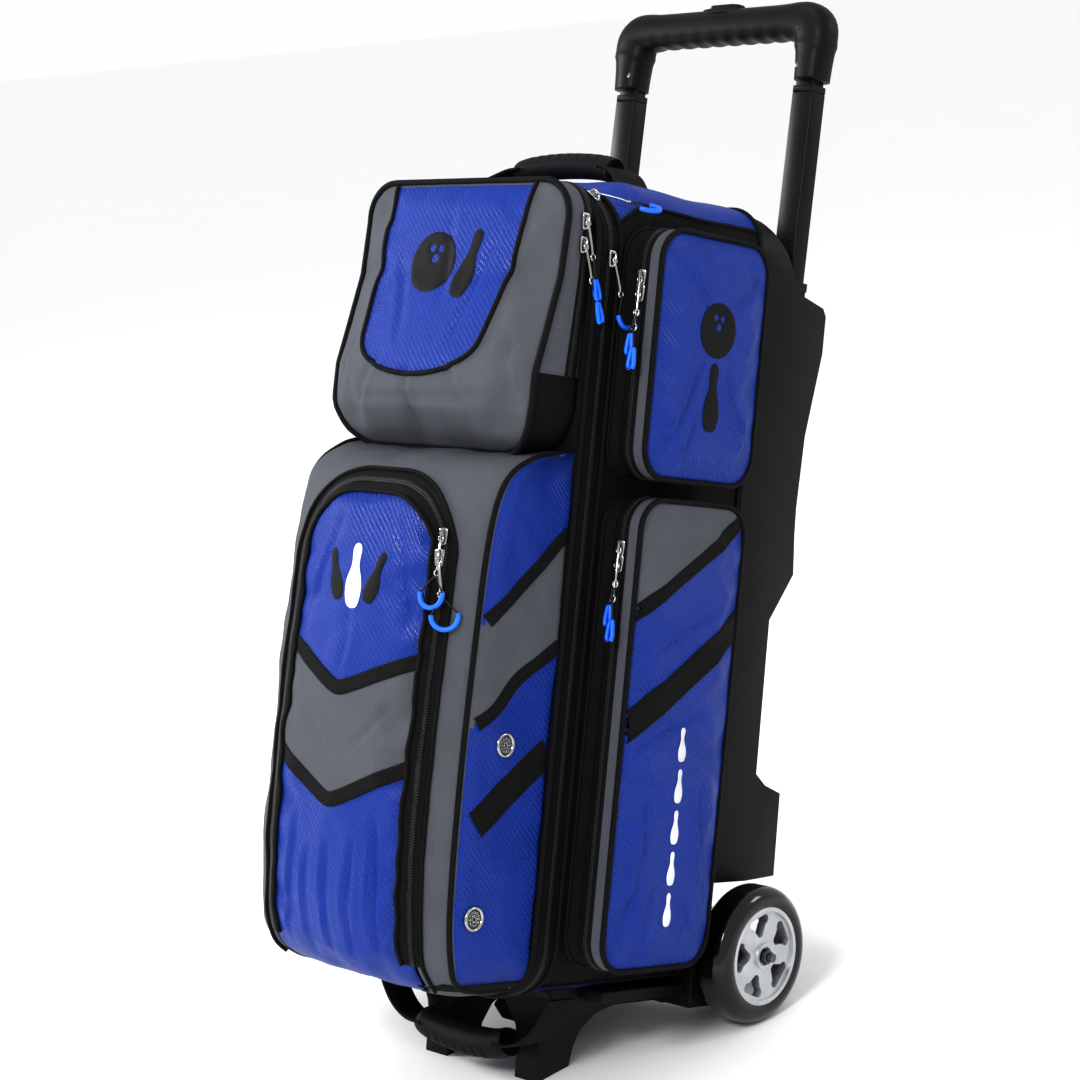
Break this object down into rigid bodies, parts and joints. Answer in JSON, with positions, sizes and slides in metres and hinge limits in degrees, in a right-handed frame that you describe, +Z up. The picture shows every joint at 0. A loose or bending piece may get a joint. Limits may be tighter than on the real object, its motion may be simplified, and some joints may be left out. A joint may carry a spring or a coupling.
{
  "type": "rolling bowling bag",
  "caption": "Upright rolling bag for bowling balls: zipped soft body and pockets on a plastic back shell, with wheels, a front stand and a telescopic handle.",
  "frame": {"origin": "centre of the bounding box at floor level, between the wheels' and stand's contact with the floor", "axes": "+Z up, +X to the right of someone facing the bag's front, -Y out of the front towards that person"},
  "size_m": [0.356, 0.6456, 0.9153],
  "materials": {
    "shell_plastic": "satin moulded",
    "steel": "zinc plated",
    "tube": "satin black coat",
    "grip_plastic": "fine grained",
    "grip_rubber": "ribbed matt",
    "webbing": "woven strap",
    "rim": "silver satin",
    "tyre": "glossy polyurethane",
    "zip_metal": "bright plated",
    "black_fabric": "plain weave",
    "divider_fabric": "brushed lining",
    "foam": "closed-cell foam",
    "blue_fabric": "shiny twill nylon",
    "grey_fabric": "heather canvas"
  },
  "bodies": {
    "chassis": {"back_shell": "shell_plastic", "shell_screws": "steel", "handle_sleeves": "tube", "sleeve_collars": "shell_plastic", "stand_leg_left": "shell_plastic", "stand_leg_right": "shell_plastic", "stand_plate": "shell_plastic", "stand_brace": "shell_plastic", "stand_screws": "steel", "axle_housing": "shell_plastic", "axle": "steel", "axle_washers": "steel", "axle_nuts": "steel", "body_wall": "blue_fabric", "body_back_panel": "black_fabric", "main_zip": "black_fabric", "ball_dividers": "divider_fabric", "ball_cups": "foam", "top_handle_grip": "grip_rubber", "top_handle_webbing": "webbing", "bottom_handle_grip": "grip_rubber", "bottom_handle_webbing": "webbing", "upper_pocket_base_left": "grey_fabric", "upper_pocket_base_right": "grey_fabric", "lower_pocket_base_left": "grey_fabric", "lower_pocket_base_right": "grey_fabric"},
    "handle_outer": {"outer_tube_left": "tube", "outer_tube_right": "tube", "outer_tube_caps": "shell_plastic"},
    "handle_inner": {"inner_tube_left": "tube", "inner_tube_right": "tube", "grip": "grip_plastic", "grip_screws": "steel"},
    "button": {"grip_button": "grip_plastic"},
    "wheel_left": {"rim_left": "rim", "tyre_left": "tyre"},
    "wheel_right": {"rim_right": "rim", "tyre_right": "tyre"},
    "lid": {"lid_panel": "black_fabric", "top_front_base": "grey_fabric", "low_front_base": "grey_fabric", "vent_grommets": "zip_metal"},
    "top_cover": {"top_front_cover": "blue_fabric"},
    "low_cover": {"low_front_cover": "blue_fabric"},
    "upper_cover_left": {"upper_pocket_cover_left": "blue_fabric"},
    "upper_cover_right": {"upper_pocket_cover_right": "blue_fabric"},
    "lower_cover_left": {"lower_pocket_cover_left": "blue_fabric"},
    "lower_cover_right": {"lower_pocket_cover_right": "blue_fabric"},
    "main_slider_a": {"main_slider_upper": "zip_metal"},
    "main_slider_b": {"main_slider_lower": "zip_metal"},
    "top_front_slider_a": {"top_front_slider_upper": "zip_metal"},
    "top_front_slider_b": {"top_front_slider_lower": "zip_metal"},
    "low_front_slider_a": {"low_front_slider_upper": "zip_metal"},
    "low_front_slider_b": {"low_front_slider_lower": "zip_metal"},
    "upper_slider_left": {"upper_pocket_slider_left": "zip_metal"},
    "upper_slider_right": {"upper_pocket_slider_right": "zip_metal"},
    "lower_slider_left": {"lower_pocket_slider_left": "zip_metal"},
    "lower_slider_right": {"lower_pocket_slider_right": "zip_metal"}
  },
  "joints": [
    {"name": "handle_outer_slide", "type": "slide", "parent": "chassis", "child": "handle_outer", "axis": [0, 0.3075, 0.9515], "range_m": [-0.178, 0]},
    {"name": "handle_inner_slide", "type": "slide", "parent": "handle_outer", "child": "handle_inner", "axis": [0, 0.3075, 0.9515], "range_m": [0, 0.12]},
    {"name": "grip_button_press", "type": "slide", "parent": "handle_inner", "child": "button", "axis": [0, -0.3075, -0.9515], "range_m": [0, 0.0035], "stiffness_N_per_m": 600, "springref_m": -0.001},
    {"name": "wheel_left_spin", "type": "hinge", "parent": "chassis", "child": "wheel_left", "pos_m": [-0.15, 0.04471, 0.0635], "axis": [1, 0, 0], "continuous": true},
    {"name": "wheel_right_spin", "type": "hinge", "parent": "chassis", "child": "wheel_right", "pos_m": [0.15, 0.04471, 0.0635], "axis": [1, 0, 0], "continuous": true},
    {"name": "lid_swing", "type": "hinge", "parent": "chassis", "child": "lid", "pos_m": [-0.129, -0.11565, 0.4403], "axis": [0, -0.2756, -0.9613], "range_deg": [0, 100]},
    {"name": "top_cover_fold", "type": "hinge", "parent": "lid", "child": "top_cover", "pos_m": [0, -0.16251, 0.63058], "axis": [1, 0, 0], "range_deg": [0, 45]},
    {"name": "low_cover_fold", "type": "hinge", "parent": "lid", "child": "low_cover", "pos_m": [0, -0.31172, 0.15738], "axis": [1, 0, 0], "range_deg": [0, 80]},
    {"name": "upper_cover_left_swing", "type": "hinge", "parent": "chassis", "child": "upper_cover_left", "pos_m": [-0.152, 0.10195, 0.60052], "axis": [0, -0.2756, -0.9613], "range_deg": [0, 75]},
    {"name": "upper_cover_right_swing", "type": "hinge", "parent": "chassis", "child": "upper_cover_right", "pos_m": [0.152, 0.10195, 0.60052], "axis": [0, 0.2756, 0.9613], "range_deg": [0, 75]},
    {"name": "lower_cover_left_swing", "type": "hinge", "parent": "chassis", "child": "lower_cover_left", "pos_m": [-0.152, 0.01154, 0.28523], "axis": [0, -0.2756, -0.9613], "range_deg": [0, 75]},
    {"name": "lower_cover_right_swing", "type": "hinge", "parent": "chassis", "child": "lower_cover_right", "pos_m": [0.152, 0.01154, 0.28523], "axis": [0, 0.2756, 0.9613], "range_deg": [0, 75]},
    {"name": "main_slider_a_run", "type": "slide", "parent": "chassis", "child": "main_slider_a", "axis": [-1, 0, 0], "range_m": [0, 0.14]},
    {"name": "main_slider_b_run", "type": "slide", "parent": "chassis", "child": "main_slider_b", "axis": [0, -0.2756, -0.9613], "range_m": [0, 0.57]},
    {"name": "top_front_slider_a_run", "type": "slide", "parent": "lid", "child": "top_front_slider_a", "axis": [0, 0.2756, 0.9613], "range_m": [0, 0.018]},
    {"name": "top_front_slider_b_run", "type": "slide", "parent": "lid", "child": "top_front_slider_b", "axis": [0, -0.2756, -0.9613], "range_m": [0, 0.1]},
    {"name": "low_front_slider_a_run", "type": "slide", "parent": "lid", "child": "low_front_slider_a", "axis": [0, 0.2756, 0.9613], "range_m": [0, 0.02]},
    {"name": "low_front_slider_b_run", "type": "slide", "parent": "lid", "child": "low_front_slider_b", "axis": [0, -0.2756, -0.9613], "range_m": [0, 0.24]},
    {"name": "upper_slider_left_run", "type": "slide", "parent": "chassis", "child": "upper_slider_left", "axis": [0, -0.2756, -0.9613], "range_m": [0, 0.12]},
    {"name": "lower_slider_left_run", "type": "slide", "parent": "chassis", "child": "lower_slider_left", "axis": [0, -0.2756, -0.9613], "range_m": [0, 0.3]},
    {"name": "upper_slider_right_run", "type": "slide", "parent": "chassis", "child": "upper_slider_right", "axis": [0, -0.2756, -0.9613], "range_m": [0, 0.12]},
    {"name": "lower_slider_right_run", "type": "slide", "parent": "chassis", "child": "lower_slider_right", "axis": [0, -0.2756, -0.9613], "range_m": [0, 0.3]}
  ]
}
